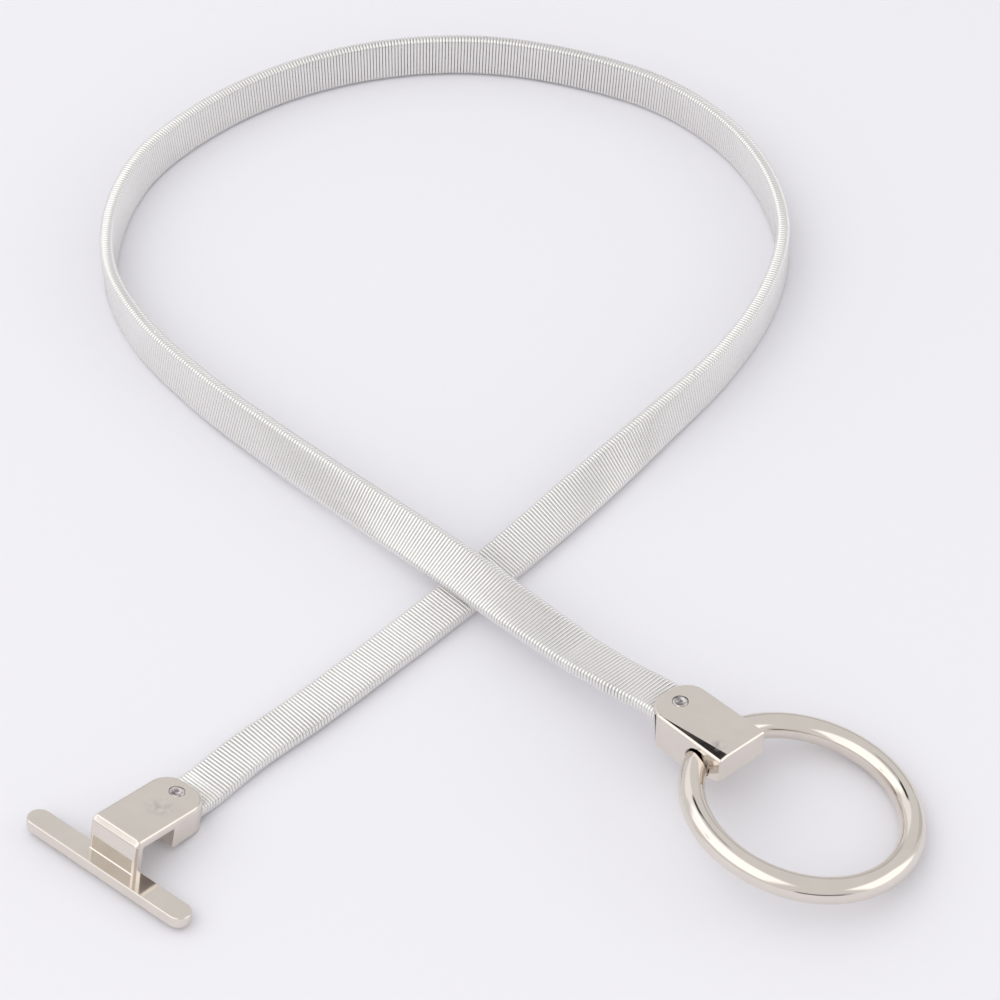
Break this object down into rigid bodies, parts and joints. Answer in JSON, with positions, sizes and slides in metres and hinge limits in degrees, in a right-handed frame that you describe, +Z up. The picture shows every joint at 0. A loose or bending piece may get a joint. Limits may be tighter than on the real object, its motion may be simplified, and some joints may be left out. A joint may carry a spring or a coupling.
{
  "type": "cinch belt",
  "caption": "Elastic metal waist belt: a flattened coil-spring band with a T-hook on one end and a box clasp with a loose round ring on the other, lying in an open loop.",
  "frame": {"origin": "on the surface that the belt lies on, under the middle of its length and width as laid", "axes": "+Z up; +Y from the two fastenings towards the far end of the loop; +X towards the side where the ring lies"},
  "size_m": [0.1758, 0.2742, 0.0156],
  "materials": {
    "spring_wire": "bright silver spring wire, wound close",
    "polished_casting": "polished warm nickel plate with fine wear",
    "rivet": "satin, slightly dull"
  },
  "bodies": {
    "belt": {"spring_band": "spring_wire", "t_hook": "polished_casting", "hook_rivet": "rivet", "ring_clasp": "polished_casting", "clasp_rivet": "rivet"},
    "ring": {"ring": "polished_casting"}
  },
  "joints": [
    {"name": "ring_swing", "type": "hinge", "parent": "belt", "child": "ring", "pos_m": [0.04716, -0.09801, 0.00941], "axis": [0.6018, 0.7805, -0.169], "range_deg": [-170, 160]}
  ]
}
